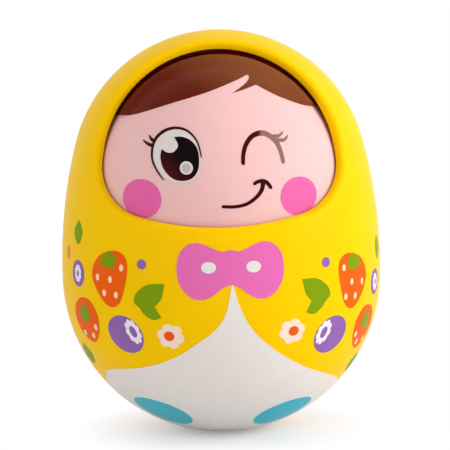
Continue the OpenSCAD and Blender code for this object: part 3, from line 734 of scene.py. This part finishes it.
def print_face():
    """The hair and the features of the face."""
    print_hair()
    print_film("cheeks", [on_face(oval(*cheek, points=40)) for cheek in CHEEKS], 1, "cheek", head=True)
    print_film("eye_white", [on_face(EYE_WHITE)], 1, "eye", head=True)
    print_film("iris", [on_face(IRIS)], 2, "iris", head=True)
    print_film("eye_glint", [on_face(oval(-8.6, 6.7, 1.75, 1.75, points=24))], 3, "eye", head=True)
    print_film("eye_glint_core", [on_face(oval(-8.6, 6.7, 1.2, 1.2, points=20))], 4, "grey", head=True)
    print_film("eye_line", [on_face(brush(EYE_LINE, (0.3, 0.8, 0.3)))], 3, "line", head=True)
    # The right lashes take the wink ink's painted sheen
    print_film("lashes", [on_face(brush(line, (0.95, 0.8, 0.3))) for line in LASHES], 2, "wink", head=True)
    print_film("wink", [on_face(brush(WINK, (1.0, 1.4, 1.0)))], 1, "wink", head=True)
    print_film("mouth", [on_face(brush(MOUTH, (0.85, 0.95, 1.2)))], 1, "line", head=True)
    print_film("mouth_corner", [on_face(brush(MOUTH_END, (0.9, 1.05, 0.9)))], 2, "line", head=True)


# Rounded edge of the hood
def arc(centre, radius, start, end, steps):
    """Points along an arc, without the last one."""
    turns = [start + (end - start) * i / steps for i in range(steps)]
    return [(centre[0] + radius * math.cos(t), centre[1] + radius * math.sin(t)) for t in turns]


def opening_outline():
    """Forehead arch, cheek corners and chin of the opening, tangent in turn, from the top to the right."""
    arch_z = OPENING_TOP - ARCH_R
    chin_z = OPENING_TOP - OPENING_H + CHIN_R
    gap = chin_z - arch_z
    up = ((ARCH_R - CORNER_R) ** 2 - (CHIN_R - CORNER_R) ** 2 + gap**2) / (2 * gap)
    corner = (math.sqrt((ARCH_R - CORNER_R) ** 2 - up**2), arch_z + up)
    arch_end = math.atan2(up, corner[0])
    corner_end = math.atan2(corner[1] - chin_z, corner[0])
    right = arc((0, arch_z), ARCH_R, math.pi / 2, arch_end, ARCH_STEPS)
    right += arc(corner, CORNER_R, arch_end, corner_end, CORNER_STEPS)
    right += arc((0, chin_z), CHIN_R, corner_end, -math.pi / 2, CHIN_STEPS)
    return right + [(0, OPENING_TOP - OPENING_H)] + mirror(right[:0:-1])


def edge_profile(here, ray, side):
    """Points over the hood's edge at one place: round from the cut wall, then along the egg's outside."""
    def rise(across):
        """Height of the egg's outside along the ray, found in a few steps."""
        height = WALL
        for _ in range(6):
            height += egg_depth(here + height * ray + across * side)
        return height

    slope = (rise(1.1 * EDGE_R) - rise(0.9 * EDGE_R)) / (0.2 * EDGE_R)
    lean = math.atan(slope)
    middle = rise(EDGE_R) - EDGE_R / math.cos(lean)
    roll = EDGE_R + EDGE_PROUD
    turns = [EDGE_START + (math.pi / 2 - lean - EDGE_START) * i / EDGE_STEPS for i in range(EDGE_STEPS + 1)]
    across = [EDGE_R - roll * math.cos(t) for t in turns]
    height = [middle + roll * math.sin(t) for t in turns]
    deep = min(max((here.z - WALL_FROM) / (WALL_FULL - WALL_FROM), 0), 1)
    for share in WALL_ROWS:
        across.insert(0, across[0] - deep * (across[0] + EDGE_PROUD))
        height.insert(0, (1 - share * deep) * (middle + roll * math.sin(EDGE_START)))
    for reach in OUTER_ROWS:
        across.append(EDGE_R + reach * MM)
        height.append(rise(across[-1]) + EDGE_PROUD * (1 - reach / FLUSH_AT))
    return [here + h * ray + a * side for a, h in zip(across, height)]


def hood_edge():
    """Smooth roll of the hood's edge, laid over the stepped edge of the solid."""
    centre = Vector((0, 0, CROWN_Z))
    inner = [Vector((x, -math.sqrt(egg_radius(z, WALL) ** 2 - x * x), z)) for x, z in opening_outline()]
    rays = [(p - centre).normalized() for p in inner]
    n = len(inner)
    sides = [rays[i].cross(inner[(i + 1) % n] - inner[i - 1]).normalized() for i in range(n)]
    profiles = [edge_profile(*spot) for spot in zip(inner, rays, sides)]
    rows = len(profiles[0])
    bpy.ops.object.select_all(action="DESELECT")
    bpy.ops.mesh.primitive_grid_add(x_subdivisions=n, y_subdivisions=rows - 1, size=1)
    rim = bpy.context.object
    for k, vertex in enumerate(rim.data.vertices):
        row, i = divmod(k, n + 1)
        vertex.co = profiles[i % n][row]
    rim.data.update()
    inside_out = rim.data.polygons[0].normal.dot(rays[0]) < 0
    only(rim)
    bpy.ops.object.mode_set(mode="EDIT")
    bpy.ops.mesh.select_all(action="SELECT")
    bpy.ops.mesh.remove_doubles(threshold=EDGE_JOIN)
    if inside_out:
        bpy.ops.mesh.flip_normals()
    bpy.ops.object.mode_set(mode="OBJECT")
    thicken(rim, EDGE_THICK, -1)
    finish_piece(rim, "hood_edge", "body", moulded_abs("yellow_edge_abs", YELLOW))


def dress_cad():
    """Puts its own finish on every solid."""
    for part in frame["record"]["subparts"]:
        solid = frame["nodes"][part["node"]]
        solid.data.materials.clear()
        solid.data.materials.append(MATERIALS[part["material_slot"]])


# Studio: the camera's aim, height over level, distance and tilt, and its lens and sensor in mm
LOOK_AT = Vector((1.3, 0, 58.9)) * MM
ELEVATION = math.radians(6)
DISTANCE = 540 * MM
TILT = math.radians(1.1)
LENS = 150
SENSOR = 36

# Lamps: name, place and size in metres, and watts; and the spot that they all face
LAMPS = [("key", (0.75, -0.25, 0.35), 0.5, 4.2),
         ("fill", (-0.75, -0.55, 0.25), 0.6, 0.75),
         ("top", (0.2, -0.2, 0.8), 0.5, 0.5)]
LAMP_AIM = Vector((0, 0, 0.06))

# The sky's strength as a light and as it is seen
SKY_LIGHT = 0.72
SKY_SEEN = 1.0

# Paper floor, in metres: its width, the distances between which its shadow clears, and the share of its own
# glow at the first of them
FLOOR_SIZE = 6
SHADOW_FROM = 0.01
SHADOW_END = 0.042
SHADOW_GLOW = 0.3


def camera():
    """Camera with the photograph's view."""
    data = bpy.data.cameras.new("camera")
    data.lens = LENS
    data.sensor_width = SENSOR
    made = bpy.data.objects.new("camera", data)
    bpy.context.scene.collection.objects.link(made)
    away = Vector((0, -math.cos(ELEVATION), math.sin(ELEVATION)))
    turned = away.to_track_quat("Z", "Y").to_matrix().to_4x4() @ Matrix.Rotation(-TILT, 4, "Z")
    made.matrix_world = Matrix.Translation(LOOK_AT + DISTANCE * away) @ turned
    bpy.context.scene.camera = made


def softbox(name, place, size, watts):
    """Square soft lamp that faces the doll."""
    data = bpy.data.lights.new(name, "AREA")
    data.energy = watts
    data.size = size
    made = bpy.data.objects.new(name, data)
    bpy.context.scene.collection.objects.link(made)
    made.location = place
    made.rotation_euler = (Vector(place) - LAMP_AIM).to_track_quat("Z", "Y").to_euler()


def shown_white(tree):
    """1 for what the camera sees directly, in a reflection or through glass."""
    path = node(tree, "ShaderNodeLightPath")
    pair = node(tree, "ShaderNodeMath",
                {0: path.outputs["Is Camera Ray"], 1: path.outputs["Is Glossy Ray"]}, operation="MAXIMUM")
    return node(tree, "ShaderNodeMath", {0: pair.outputs["Value"], 1: path.outputs["Is Transmission Ray"]},
                operation="MAXIMUM").outputs["Value"]


def studio():
    """White sky, a paper floor that keeps a soft shadow, and the lamps."""
    scene = bpy.context.scene
    scene.view_settings.view_transform = "Standard"
    world = bpy.data.worlds.new("studio")
    scene.world = world
    world.use_nodes = True
    tree = world.node_tree
    tree.nodes.clear()
    level = node(tree, "ShaderNodeMapRange",
                 {"Value": shown_white(tree), "To Min": SKY_LIGHT, "To Max": SKY_SEEN})
    sky = node(tree, "ShaderNodeBackground", {"Color": (1, 1, 1, 1), "Strength": level.outputs["Result"]})
    node(tree, "ShaderNodeOutputWorld", {"Surface": sky.outputs["Background"]})

    bpy.ops.object.select_all(action="DESELECT")
    bpy.ops.mesh.primitive_plane_add(size=FLOOR_SIZE)
    floor = bpy.context.object
    floor.name = "floor"
    paper = bpy.data.materials.new("white_paper")
    paper.use_nodes = True
    tree = paper.node_tree
    tree.nodes.clear()
    lit = node(tree, "ShaderNodeBsdfDiffuse", {"Color": (0.86, 0.86, 0.86, 1)})
    glow = node(tree, "ShaderNodeEmission")
    away = node(tree, "ShaderNodeVectorMath", {0: node(tree, "ShaderNodeTexCoord").outputs["Object"]},
                operation="LENGTH")
    clear = node(tree, "ShaderNodeMapRange",
                 {"Value": away.outputs["Value"], "From Min": SHADOW_FROM, "From Max": SHADOW_END,
                  "To Min": SHADOW_GLOW, "To Max": 1.0})
    share = node(tree, "ShaderNodeMath", {0: shown_white(tree), 1: clear.outputs["Result"]},
                 operation="MULTIPLY")
    mixed = node(tree, "ShaderNodeMixShader", {0: share.outputs["Value"], 1: lit.outputs["BSDF"],
                                               2: glow.outputs["Emission"]})
    node(tree, "ShaderNodeOutputMaterial", {"Surface": mixed.outputs["Shader"]})
    floor.data.materials.append(paper)

    for lamp in LAMPS:
        softbox(*lamp)


dress_cad()
print_body()
print_face()
hood_edge()
camera()
studio()
